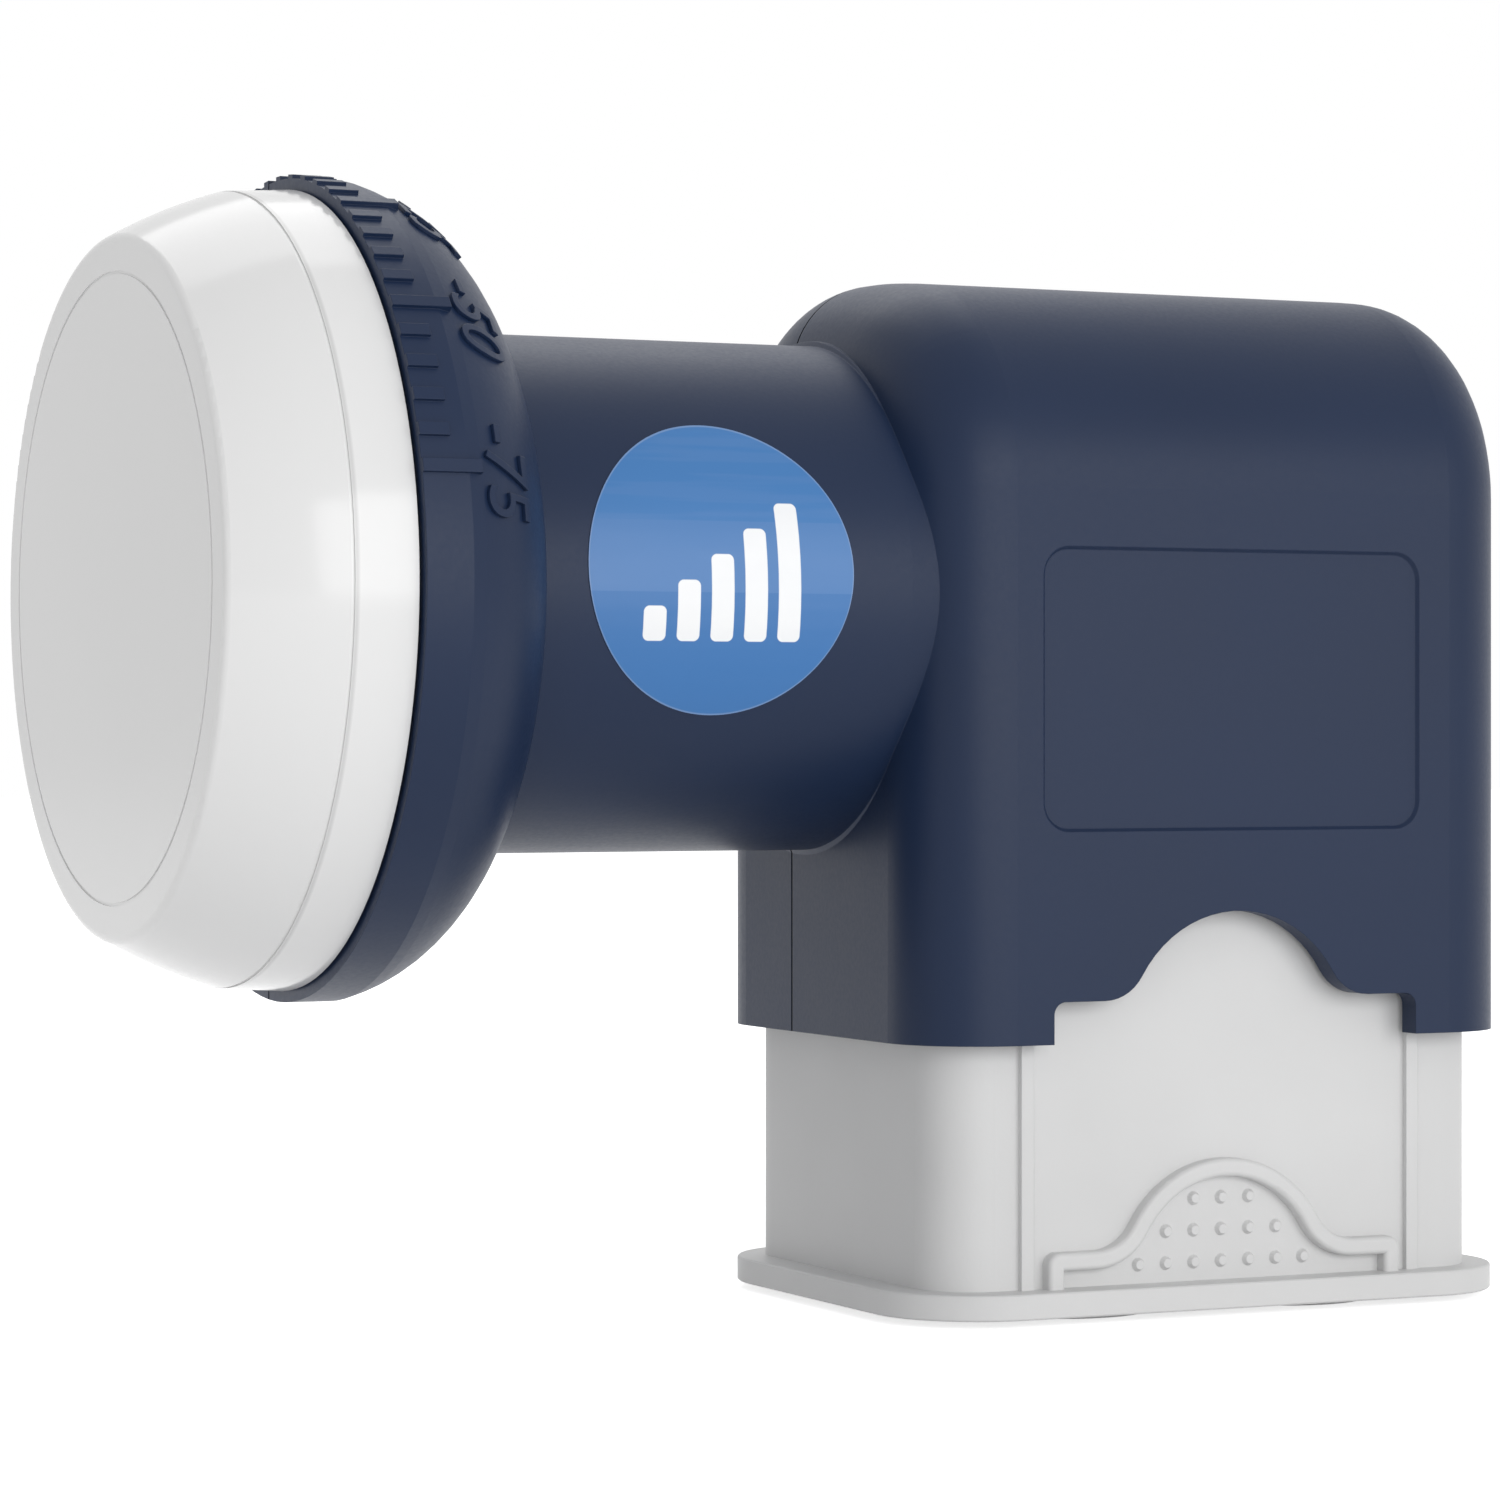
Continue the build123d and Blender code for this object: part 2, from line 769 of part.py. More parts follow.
def probe(turn):
    """A printed strip that reaches from the waveguide wall towards its middle."""
    half = probe_width / 2
    x0 = rf_board_front - probe_thickness
    strip = block(x0, rf_board_front, -half, half, probe_gap, waveguide_radius - probe_thickness)
    return Rot(X=turn) * strip


def inner_cover():
    """The cast cover behind the board, with the cup that ends the waveguide."""
    y0, y1 = board_sides()
    back = rf_board_front + board_thickness
    top = chassis_top - chassis_wall - board_margin
    cover = block(back, back + cover_thickness, y0, y1, rf_board_bottom, top)
    cup_end = back + backshort_depth + cover_thickness
    cover = cover + axial_rod(back, cup_end, waveguide_outer - board_margin)
    cover = cover - axial_rod(back - overcut, back + backshort_depth, waveguide_radius)
    hole = screw_radius + fit_clearance
    for y, z in board_corners():
        cover = cover - axial_rod(back - overcut, back + cover_thickness + overcut, hole, y, z)
    return cover


def inner_cover_screws():
    """The screws through the inner cover and the board."""
    seat = rf_board_front + board_thickness + cover_thickness
    grip = board_thickness + cover_thickness + screw_grip - screw_tip_gap
    screw = Rot(Z=180) * slotted_screw(grip)
    return [Pos(seat, y, z) * screw for y, z in board_corners()]


def switch_board_span():
    """The X limits of the switch board."""
    return chassis_front + chassis_front_wall + board_margin, chassis_rear - board_margin


def switch_board():
    """The switch board above the connectors."""
    y0, y1 = board_sides()
    x0, x1 = switch_board_span()
    z0 = switch_board_bottom - overcut
    z1 = switch_board_top + overcut
    board = block(x0, x1, y0, y1, switch_board_bottom, switch_board_top)
    for x, y in standoff_spots():
        board = board - rod(x, y, z0, z1, screw_radius + fit_clearance)
    for x, y in connector_spots:
        board = board - rod(x, y, z0, z1, contact_radius + fit_clearance)
    return board


def switch_board_screws():
    """The screws of the switch board."""
    grip = board_thickness + screw_grip / 2 - screw_tip_gap
    screw = Rot(Y=90) * slotted_screw(grip)
    return [Pos(x, y, switch_board_top) * screw for x, y in standoff_spots()]


def switch_chips():
    """The switch circuits on the board, one between each pair of connectors."""
    z = switch_board_top + chip_height / 2
    chip = Box(chip_size, chip_size, chip_height)
    middles = (housing_mid_x - connector_pitch_x / 2, housing_mid_x + connector_pitch_x / 2)
    return [Pos(x, housing_mid_y, z) * chip for x in middles]


def board_link_pins():
    """The pins that join the two boards."""
    x1 = rf_board_front
    z1 = rf_board_bottom + link_pin_reach
    first = housing_mid_y - (link_pins - 1) * link_pin_pitch / 2
    pins = []
    for index in range(link_pins):
        y = first + index * link_pin_pitch
        half = link_pin_size / 2
        pins.append(block(x1 - link_pin_size, x1, y - half, y + half, switch_board_top, z1))
    return pins


def connector_shell(x, y):
    """Threaded barrel with its hexagon, pressed into the chassis floor."""
    flange_end = connector_seat - connector_flange_height
    hexagon = RegularPolygon(connector_flange_width / 2, 6, major_radius=False)
    shell = Pos(x, y, flange_end) * extrude(hexagon, connector_flange_height)
    shell = shell + rod(x, y, connector_tip, flange_end, connector_thread_radius)
    shell = shell + rod(x, y, connector_seat, connector_end, connector_stud_radius)
    tip = shell.edges().group_by(Axis.Z)[0]
    shell = chamfer(tip, connector_chamfer)
    return shell - rod(x, y, connector_tip - overcut, connector_end + overcut, connector_bore_radius)


def connector_insulator(x, y):
    """The white core of the connector."""
    face = connector_tip + insulator_recess
    core = rod(x, y, face, connector_end, connector_bore_radius - fit_clearance)
    return core - rod(x, y, face - overcut, connector_end + overcut, contact_radius + fit_clearance)


def connector_contact(x, y):
    """The inner contact, soldered to the switch board."""
    return rod(x, y, connector_tip + contact_recess, switch_board_top + contact_radius, contact_radius)


def connector_washer(x, y):
    """The sealing washer under the hexagon."""
    disc = rod(x, y, connector_seat, chassis_floor, connector_washer_radius)
    hole = connector_stud_radius + fit_clearance
    return disc - rod(x, y, connector_seat - overcut, chassis_floor + overcut, hole)


def all_parts():
    """Every node by name."""
    near, far = housing_halves()
    parts = {
        "housing_near_half": near,
        "housing_far_half": far,
        "feed_cap": feed_cap(),
        "cap_seal": cap_seal(),
        "weather_shield": weather_shield(),
        "feed_casting": feed_casting(),
        "rear_lid": rear_lid(),
        "lid_gasket": lid_gasket(),
        "lid_screws": lid_screws(),
        "rf_board": rf_board(),
        "vertical_probe": probe(0),
        "horizontal_probe": probe(90),
        "inner_cover": inner_cover(),
        "inner_cover_screws": inner_cover_screws(),
        "switch_board": switch_board(),
        "switch_board_screws": switch_board_screws(),
        "switch_chips": switch_chips(),
        "board_link_pins": board_link_pins(),
    }
    for number, (x, y) in enumerate(connector_spots, 1):
        parts[f"connector_shell_{number}"] = connector_shell(x, y)
        parts[f"connector_insulator_{number}"] = connector_insulator(x, y)
        parts[f"connector_contact_{number}"] = connector_contact(x, y)
        parts[f"connector_washer_{number}"] = connector_washer(x, y)
    return parts


os.makedirs("parts", exist_ok=True)
for name, shape in all_parts().items():
    solid = Compound(children=shape) if isinstance(shape, list) else shape
    export_step(solid, os.path.join("parts", name + ".step"))
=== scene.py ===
"""Looks of a satellite LNB: the finish of each moulded, cast and turned piece, the numbers of its
skew scale, the round label on its neck and the threads of its cable outlets, in metres."""
import json
import math

import bpy
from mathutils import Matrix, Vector


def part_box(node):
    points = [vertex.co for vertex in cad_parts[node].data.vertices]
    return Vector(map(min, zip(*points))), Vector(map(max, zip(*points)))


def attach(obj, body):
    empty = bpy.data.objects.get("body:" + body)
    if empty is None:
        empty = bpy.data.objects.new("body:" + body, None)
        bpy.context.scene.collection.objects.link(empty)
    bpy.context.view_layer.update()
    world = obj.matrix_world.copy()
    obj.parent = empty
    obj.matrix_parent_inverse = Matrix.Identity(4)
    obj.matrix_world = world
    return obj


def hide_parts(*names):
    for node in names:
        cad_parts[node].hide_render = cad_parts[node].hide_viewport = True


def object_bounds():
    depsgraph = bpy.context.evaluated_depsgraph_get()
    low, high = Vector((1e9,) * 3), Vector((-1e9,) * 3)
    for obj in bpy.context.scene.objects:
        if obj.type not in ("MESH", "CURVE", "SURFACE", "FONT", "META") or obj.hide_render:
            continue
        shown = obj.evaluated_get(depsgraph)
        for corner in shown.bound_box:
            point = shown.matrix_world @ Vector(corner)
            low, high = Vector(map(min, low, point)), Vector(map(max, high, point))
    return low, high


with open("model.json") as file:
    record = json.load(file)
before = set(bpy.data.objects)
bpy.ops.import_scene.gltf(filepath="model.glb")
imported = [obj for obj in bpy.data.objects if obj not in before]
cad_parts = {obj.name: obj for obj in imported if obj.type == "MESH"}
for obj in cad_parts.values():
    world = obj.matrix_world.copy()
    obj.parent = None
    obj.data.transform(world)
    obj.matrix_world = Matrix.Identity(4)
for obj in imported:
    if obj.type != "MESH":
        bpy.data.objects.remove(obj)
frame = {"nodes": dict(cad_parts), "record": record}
cad_low, cad_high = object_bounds()
near_low, near_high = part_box("housing_near_half")
far_low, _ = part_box("housing_far_half")

bl_info = {
    "name": "Satellite LNB looks",
    "version": (1, 0, 0),
    "blender": (4, 5, 0),
    "location": "View3D > Sidebar > LNB",
    "description": "Finishes and small pieces of a satellite LNB",
    "category": "Object",
}

MM = 0.001
BODY = "housing"
SCALE_ANGLES = range(-75, 76, 25)
LABEL_BARS = 5
FINISHES = {}

# Half widths at which a soft line is full and at which it has faded: painted shade along the
# housing's parting line, painted shade along the cap's seam, and the label's lighter rim.
PARTING_SHADE = (0.08 * MM, 0.16 * MM)
CAP_SEAM_SHADE = (0.05 * MM, 0.27 * MM)
LABEL_RIM = (0.1 * MM, 0.05 * MM)
BAR_EDGE = 0.03 * MM

# A digit's height as a share of its text size, and the fineness of its curves.
DIGIT_SHARE = 0.73
DIGIT_CURVE = 6

# How far off a flat piece starts before it is laid on a solid, and the label's cuts across.
LAY_FROM = 10 * MM
LABEL_CUT = 0.5 * MM
LABEL_SIDES = 128

# The outlets: their sides and steps, and the thread's foot as shares of its pitch and depth.
BARREL_SIDES = 64
NUT_SIDES = 6
NUT_TURN = math.radians(180 / NUT_SIDES)
THREAD_STEPS = 40
THREAD_HALF = 0.46
THREAD_SINK = 1 / 8
SMOOTH_ANGLE = math.radians(35)

# The studio: place, width and height of each softbox, the floor, and the photograph's camera.
FRONT_SOFTBOX = ((0.12, -1.05, 0.21), 1.2, 0.53)
BACK_SOFTBOX = ((0.1, 0.6, 0.9), 0.8, 0.8)
FLOOR_SIZE = 6.0
FLOOR_GLOW = 0.7
CAMERA_PLACE = (-151.45 * MM, -347.54 * MM, -10.84 * MM)
CAMERA_TURN = (math.radians(90), 0.0, math.radians(-25.84))
CAMERA_SENSOR = 36.0
CAMERA_LENS = 116.29
CAMERA_SHIFT = (-0.0458, -0.01025)
CAMERA_NEAR = 0.01


class Signal:
    """One output of a node, so that shader maths reads as Python."""

    def __init__(self, nodes, socket):
        self.nodes = nodes
        self.socket = socket

    def beside(self, name):
        """Another output of the same node."""
        return Signal(self.nodes, self.socket.node.outputs[name])

    def math(self, operation, *values):
        return self.nodes.node("ShaderNodeMath", {"operation": operation}, dict(enumerate(values)))

    def __add__(self, other):
        return self.math("ADD", self, other)

    def __sub__(self, other):
        return self.math("SUBTRACT", self, other)

    def __rsub__(self, other):
        return self.math("SUBTRACT", other, self)

    def __mul__(self, other):
        return self.math("MULTIPLY", self, other)

    __radd__ = __add__
    __rmul__ = __mul__

    def __truediv__(self, other):
        return self.math("DIVIDE", self, other)

    def __pow__(self, other):
        return self.math("POWER", self, other)

    def __abs__(self):
        return self.math("ABSOLUTE", self)

    def __lt__(self, other):
        return self.math("LESS_THAN", self, other)

    def __gt__(self, other):
        return self.math("GREATER_THAN", self, other)

    def at_least(self, other):
        return self.math("MAXIMUM", self, other)

    def at_most(self, other):
        return self.math("MINIMUM", self, other)

    def whole(self):
        return self.math("FLOOR", self)

    def part(self):
        return self.math("FRACT", self)

    def root(self):
        return self.math("SQRT", self)

    def ramp(self, low, high, start=0.0, end=1.0):
        """A straight change from start to end as this goes from low to high."""
        values = {"Value": self, "From Min": low, "From Max": high, "To Min": start, "To Max": end}
        return self.nodes.node("ShaderNodeMapRange", {"clamp": True}, values)


class Nodes:
    """A node tree under construction: every node comes from one method."""

    def __init__(self, tree):
        self.tree = tree

    def node(self, kind, settings, values, output=0):
        """Adds a node: its settings first, then the numbers or links of its sockets."""
        made = self.tree.nodes.new(kind)
        for key, value in settings.items():
            setattr(made, key, value)
        shown = {socket.name: socket for socket in made.inputs if socket.enabled}
        for key, value in values.items():
            self.feed(shown[key] if key in shown else made.inputs[key], value)
        return Signal(self, made.outputs[output])

    def feed(self, socket, value):
        """Links a signal to a socket, or sets the socket's own value."""
        if isinstance(value, Signal):
            self.tree.links.new(value.socket, socket)
        elif socket.type == "RGBA":
            socket.default_value = (*value, 1.0)
        else:
            socket.default_value = value

    def axes(self, place):
        """The three parts of a vector."""
        split = self.node("ShaderNodeSeparateXYZ", {}, {"Vector": place})
        return split, split.beside("Y"), split.beside("Z")

    def seen(self):
        """1 for the camera, in reflections and through glass, and 0 for the rest of the light."""
        rays = self.node("ShaderNodeLightPath", {}, {}, "Is Camera Ray")
        shiny = rays.beside("Is Glossy Ray") + rays.beside("Is Transmission Ray")
        return (rays + shiny).at_most(1.0)


class Finish(Nodes):
    """A material under construction, with its Principled shader and its place in the object."""

    def __init__(self, name):
        self.material = bpy.data.materials.new(name)
        self.material.use_nodes = True
        super().__init__(self.material.node_tree)
        self.shader = self.tree.nodes["Principled BSDF"]
        self.place = self.node("ShaderNodeTexCoord", {}, {}, "Object")

    def set(self, **values):
        """Feeds the shader's sockets, named with underscores."""
        for key, value in values.items():
            socket = key.replace("_", " ").title().replace("Ior", "IOR")
            self.feed(self.shader.inputs[socket], value)
        return self.material

    def noise(self, size, detail=2.0, stretch=(1.0, 1.0, 1.0)):
        """A cloudy value from 0 to 1, with clouds of about the given size."""
        scale = tuple(share / size for share in stretch)
        place = self.node("ShaderNodeMapping", {}, {"Vector": self.place, "Scale": scale})
        values = {"Vector": place, "Scale": 1.0, "Detail": detail}
        return self.node("ShaderNodeTexNoise", {}, values)

    def mix(self, share, first, second):
        """A colour between two colours."""
        values = {"Factor": share, "A": first, "B": second}
        return self.node("ShaderNodeMix", {"data_type": "RGBA"}, values, 2)

    def bump(self, height, distance, strength=1.0, edge=0.0):
        """The shader's normal, raised by a height and softened along edges by a radius."""
        values = {"Height": height, "Distance": distance, "Strength": strength}
        if edge:
            values["Normal"] = self.node("ShaderNodeBevel", {"samples": 6}, {"Radius": edge})
        return self.node("ShaderNodeBump", {}, values)

    def axes_from(self, middle):
        """The place in the object from a middle point, as three signals."""
        values = {0: self.place, 1: middle}
        return self.axes(self.node("ShaderNodeVectorMath", {"operation": "SUBTRACT"}, values))


def srgb(red, green, blue):
    """A screen colour of 0 to 255 as the linear colour that shaders take."""
    parts = [part / 255 for part in (red, green, blue)]
    return tuple(p / 12.92 if p <= 0.04045 else ((p + 0.055) / 1.055) ** 2.4 for p in parts)


def shade(colour, share):
    """A colour made darker or lighter."""
    return tuple(min(part * share, 1.0) for part in colour)


def colour_property(name, description, red, green, blue):
    return bpy.props.FloatVectorProperty(
        name=name, description=description, subtype="COLOR", size=3, min=0, max=1,
        default=srgb(red, green, blue),
    )


def length_property(name, description, millimetres):
    return bpy.props.FloatProperty(
        name=name, description=description, subtype="DISTANCE", unit="LENGTH",
        default=millimetres * MM,
    )


def strength_property(name, description, strength):
    return bpy.props.FloatProperty(name=name, description=description, min=0, default=strength)


class LNB_PG_colours(bpy.types.PropertyGroup):
    """Colours of the finishes."""

    housing: colour_property("Housing", "Blue moulded plastic of both housing halves", 23, 39, 67)
    cap: colour_property("Cap", "White plastic of the feed cap", 232, 232, 232)
    shield: colour_property("Shield", "Grey plastic of the weather shield", 214, 214, 214)
    label: colour_property("Label", "Blue print of the label below its band", 52, 113, 176)
    label_band: colour_property("Label band", "Lighter band across the label", 72, 123, 182)
    label_top: colour_property("Label top", "Blue print of the label above its band", 57, 118, 180)
    print: colour_property("Label print", "White print of the label", 246, 247, 248)


class LNB_PG_sizes(bpy.types.PropertyGroup):
    """Sizes of the pieces that are added to the model."""

    cap_seam: length_property("Cap seam", "From the collar's front to the cap's seam line", 4.76)
    number_height: length_property("Number height", "Height of the numbers on the skew scale", 4.1)
    number_raise: length_property("Number raise", "How far the numbers stand out", 0.3)
    number_foot: length_property("Number foot", "From collar front to number foot", 4.95)
    number_cut: length_property("Number cut", "Spacing of cuts that let numbers bend", 0.45)
    label_radius: length_property("Label radius", "Radius of the round label", 10.85)
    label_middle_x: length_property("Label middle X", "Label middle along the feed axis", -0.75)
    label_middle_z: length_property("Label middle Z", "Height of the label's middle", 1.5)
    label_film: length_property("Label film", "Thickness of the label", 0.1)
    band_foot: length_property("Band foot", "Lower edge of the band from the label's middle", -1.76)
    band_top: length_property("Band top", "Upper edge of the band from the label's middle", 3.58)
    bar_pitch: length_property("Bar pitch", "Spacing of the label's white bars", 2.75)
    bar_width: length_property("Bar width", "Width of the label's white bars", 1.84)
    bar_foot: length_property("Bar foot", "Foot of the white bars from the label's middle", -5.4)
    bar_first: length_property("First bar", "Height of the shortest white bar", 2.6)
    bar_step: length_property("Bar step", "How much each white bar outgrows the last", 1.95)
    stud_radius: length_property("Stud radius", "Outlet radius in the chassis floor", 4.4)
    stud_bore: length_property("Stud bore", "Radius of the outlets' hole", 3.6)
    nut_bevel: length_property("Nut bevel", "Bevel of the outlets' hexagon", 0.25)
    thread_pitch: length_property("Thread pitch", "Pitch of the outlet threads", 0.794)
    thread_depth: length_property("Thread depth", "Depth of the outlet threads", 0.43)


class LNB_PG_light(bpy.types.PropertyGroup):
    """Strength of the studio light."""

    front_power: strength_property("Front power", "Power of the wide softbox in front", 5.7)
    back_power: strength_property("Back power", "Power of the softbox above and behind", 2.6)
    room: strength_property("Room", "Brightness of the room around the object", 0.53)


def colours():
    return bpy.context.scene.lnb_colours


def sizes():
    return bpy.context.scene.lnb_sizes


def moulded_plastic(name, colour, roughness, grain, specular=0.5, edge=0.0, seam=None):
    """Plastic with a fine even grain, a faint cloud in its colour and gloss, softened edges and,
    where a place along Y is given, the parting line of two halves: a bump groove with painted
    shade."""
    finish = Finish(name)
    cloud = finish.noise(18 * MM)
    speck = finish.noise(0.35 * MM, detail=3.0)
    tone = finish.mix(cloud.ramp(0.3, 0.7), shade(colour, 0.96), shade(colour, 1.04))
    gloss = speck.ramp(0.3, 0.7, roughness - 0.03, roughness + 0.03) + (cloud - 0.5) * 0.06
    height = speck
    if seam is not None:
        _, y, _ = finish.axes(finish.place)
        # Painted shade: the colour darkens to a tenth along the parting line, standing in for the
        # shadow in the gap between the halves; the groove is in the bump.
        line = abs(y - seam).ramp(*PARTING_SHADE, 1.0, 0.0)
        tone = finish.mix(line, tone, shade(colour, 0.1))
        gloss = gloss.at_least(line)
        height = speck - line * 8.0
    normal = finish.bump(height, grain * MM, 0.5, edge * MM)
    return finish.set(base_color=tone, roughness=gloss, specular_ior_level=specular, normal=normal)


def cap_plastic():
    """Smooth white plastic with faint moulding waves and painted shade along the groove of its
    seam.
    """
    finish = Finish("cap_plastic")
    wave = finish.noise(26 * MM, detail=1.0)
    speck = finish.noise(0.8 * MM)
    tone = finish.mix(wave.ramp(0.3, 0.7), shade(colours().cap, 0.985), colours().cap)
    x, _, _ = finish.axes(finish.place)
    # Painted shade: the colour darkens along the seam's groove, standing in for the shadow that
    # falls in it.
    seam = abs(x - near_low.x + sizes().cap_seam).ramp(*CAP_SEAM_SHADE, 1.0, 0.0)
    tone = finish.mix(seam, tone, shade(colours().cap, 0.8))
    gloss = wave.ramp(0.3, 0.7, 0.13, 0.17) + (speck - 0.5) * 0.03
    normal = finish.bump(wave + speck * 0.02, 0.1 * MM, 0.3)
    return finish.set(base_color=tone, roughness=gloss, normal=normal)


def cast_alloy():
    """Die-cast metal: mottled, with a sandy grain."""
    finish = Finish("cast_alloy")
    mottle = finish.noise(4 * MM, detail=4.0)
    grain = finish.noise(0.4 * MM, detail=3.0)
    tone = finish.mix(mottle.ramp(0.35, 0.65), srgb(168, 170, 172), srgb(196, 197, 198))
    gloss = grain.ramp(0.3, 0.7, 0.42, 0.56)
    normal = finish.bump(grain, 0.05 * MM, 0.6)
    return finish.set(base_color=tone, metallic=1.0, roughness=gloss, normal=normal)


def plated_metal(name, dark, light, roughness):
    """Plated or rolled metal with fine turning marks."""
    finish = Finish(name)
    turning = finish.noise(0.25 * MM, detail=3.0, stretch=(0.15, 0.15, 1.0))
    cloud = finish.noise(3 * MM)
    tone = finish.mix(cloud.ramp(0.3, 0.7), dark, light)
    gloss = turning.ramp(0.3, 0.7, roughness - 0.06, roughness + 0.08)
    normal = finish.bump(turning, 0.01 * MM, 0.5)
    return finish.set(base_color=tone, metallic=1.0, roughness=gloss, normal=normal)


def soft_rubber():
    """Black rubber with a dusty bloom."""
    finish = Finish("seal_rubber")
    bloom = finish.noise(2.5 * MM, detail=4.0)
    tone = finish.mix(bloom.ramp(0.35, 0.75), srgb(30, 30, 31), srgb(48, 48, 49))
    return finish.set(base_color=tone, roughness=bloom.ramp(0.3, 0.7, 0.62, 0.8))


def circuit_board():
    """Green board with lighter tracks under its lacquer."""
    finish = Finish("board")
    x, y, z = finish.axes(finish.place)
    pitch = 1.27 * MM
    tracks = abs(((x + y + z) / pitch).part() - 0.5) < 0.16
    patch = finish.noise(7 * MM) > 0.5
    tone = finish.mix(tracks * patch, srgb(20, 84, 48), srgb(52, 124, 74))
    weave = finish.noise(0.5 * MM)
    return finish.set(base_color=tone, roughness=weave.ramp(0.3, 0.7, 0.3, 0.42), coat_weight=0.3)


def chip_plastic():
    """Black moulded chip with a fine dull grain."""
    finish = Finish("chip_plastic")
    grain = finish.noise(0.3 * MM, detail=3.0)
    tone = finish.mix(grain.ramp(0.3, 0.7), srgb(26, 26, 27), srgb(38, 38, 39))
    return finish.set(base_color=tone, roughness=grain.ramp(0.3, 0.7, 0.5, 0.68))


def label_print():
    """Glossy film printed blue, with a lighter band and five white bars that grow in height."""
    size = sizes()
    finish = Finish("label_print")
    x, _, z = finish.axes_from((size.label_middle_x, 0.0, size.label_middle_z))
    left = -LABEL_BARS * size.bar_pitch / 2
    index = ((x - left) / size.bar_pitch).whole().at_least(0.0).at_most(LABEL_BARS - 1.0)
    half_width = size.bar_width / 2
    half_height = (index * size.bar_step + size.bar_first) / 2
    corner = half_width / 2
    across = abs(x - left - (index + 0.5) * size.bar_pitch) - (half_width - corner)
    along = abs(z - size.bar_foot - half_height) - (half_height - corner)
    outside = (across.at_least(0.0) ** 2 + along.at_least(0.0) ** 2).root() - corner
    white = outside.ramp(-BAR_EDGE, BAR_EDGE, 1.0, 0.0)
    cloud = finish.noise(9 * MM, stretch=(0.4, 1.0, 2.5))
    streak = finish.noise(5 * MM, stretch=(0.3, 1.0, 6.0)).ramp(0.5, 0.62, 0.0, 0.6)
    top = finish.mix(streak, colours().label_top, colours().label_band)
    ground = finish.mix(z > size.band_foot, colours().label, colours().label_band)
    ground = finish.mix(z > size.band_top, ground, top)
    inwards = [size.label_radius - width for width in LABEL_RIM]
    rim = (x ** 2 + z ** 2).root().ramp(*inwards, 0.0, 0.12)
    tone = finish.mix(white.at_least(rim), ground, colours().print)
    tone = finish.mix(cloud.ramp(0.3, 0.7, 0.0, 0.04), tone, colours().label)
    return finish.set(base_color=tone, roughness=cloud.ramp(0.3, 0.7, 0.38, 0.46))


def finishes():
    """Makes the material of each of the record's slots."""
    colour = colours()
    FINISHES.update({
        "housing_plastic": moulded_plastic(
            "housing_plastic", colour.housing, roughness=0.42, grain=0.012, specular=0.25,
            edge=0.1, seam=far_low.y,
        ),
        "cap_plastic": cap_plastic(),
        "shield_plastic": moulded_plastic(
            "shield_plastic", colour.shield, roughness=0.5, grain=0.012, edge=0.1
        ),
        "label_film": label_print(),
        "cast_alloy": cast_alloy(),
        "nickel_plate": plated_metal(
            "nickel_plate", srgb(186, 182, 172), srgb(206, 203, 194), roughness=0.22
        ),
        "insulator_plastic": moulded_plastic(
            "insulator_plastic", srgb(232, 229, 220), roughness=0.45, grain=0.008
        ),
        "contact_brass": plated_metal(
            "contact_brass", srgb(198, 164, 88), srgb(216, 184, 108), roughness=0.25
        ),
        "seal_rubber": soft_rubber(),
        "screw_steel": plated_metal(
            "screw_steel", srgb(172, 173, 174), srgb(196, 197, 198), roughness=0.3
        ),
        "board": circuit_board(),
        "chip_plastic": chip_plastic(),
    })


def dress(piece, slot):
    """Gives a piece the finish of a slot."""
    piece.data.materials.clear()
    piece.data.materials.append(FINISHES[slot])


def start_alone():
    """Leaves object mode with nothing selected."""
    if bpy.context.object and bpy.context.object.mode != "OBJECT":
        bpy.ops.object.mode_set(mode="OBJECT")
    bpy.ops.object.select_all(action="DESELECT")


def settle(piece, name, slot):
    """Puts the piece's place in its mesh, names it, dresses it and lets it ride on the housing."""
    start_alone()
    piece.select_set(True)
    bpy.context.view_layer.objects.active = piece
    bpy.ops.object.transform_apply(location=True, rotation=True, scale=True)
    bpy.ops.object.shade_smooth_by_angle(angle=SMOOTH_ANGLE)
    piece.name = name
    piece.data.name = name
    dress(piece, slot)
    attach(piece, BODY)
    return piece


def apply_modifier(piece, kind, **settings):
    """Adds a modifier with its settings and applies it."""
    modifier = piece.modifiers.new(kind.title(), kind)
    for key, value in settings.items():
        setattr(modifier, key, value)
    bpy.context.view_layer.objects.active = piece
    bpy.ops.object.modifier_apply(modifier=modifier.name)


def cut_across(piece, axis, spacing):
    """Cuts all faces at even steps along a local axis, so that they can bend."""
    places = [vertex.co[axis] for vertex in piece.data.vertices]
    normal = tuple(float(index == axis) for index in range(3))
    bpy.ops.object.mode_set(mode="EDIT")
    for step in range(1, int((max(places) - min(places)) / spacing) + 1):
        point = tuple((min(places) + step * spacing) * part for part in normal)
        bpy.ops.mesh.select_all(action="SELECT")
        bpy.ops.mesh.bisect(plane_co=point, plane_no=normal)
    bpy.ops.object.mode_set(mode="OBJECT")


def lay_on(piece, node, film):
    """Projects a flat piece down its own Z onto a solid and gives it a thickness outwards."""
    apply_modifier(
        piece, "SHRINKWRAP", target=frame["nodes"][node], wrap_method="PROJECT", use_project_z=True,
        use_negative_direction=True, use_positive_direction=False,
    )
    apply_modifier(piece, "SOLIDIFY", thickness=film, offset=1.0)


class LNB_OT_finishes(bpy.types.Operator):
    """Give every solid of the model the finish of its material slot."""

    bl_idname = "lnb.finishes"
    bl_label = "Finishes"

    def execute(self, context):
        finishes()
        for row in frame["record"]["subparts"]:
            dress(frame["nodes"][row["node"]], row["material_slot"])
        return {"FINISHED"}


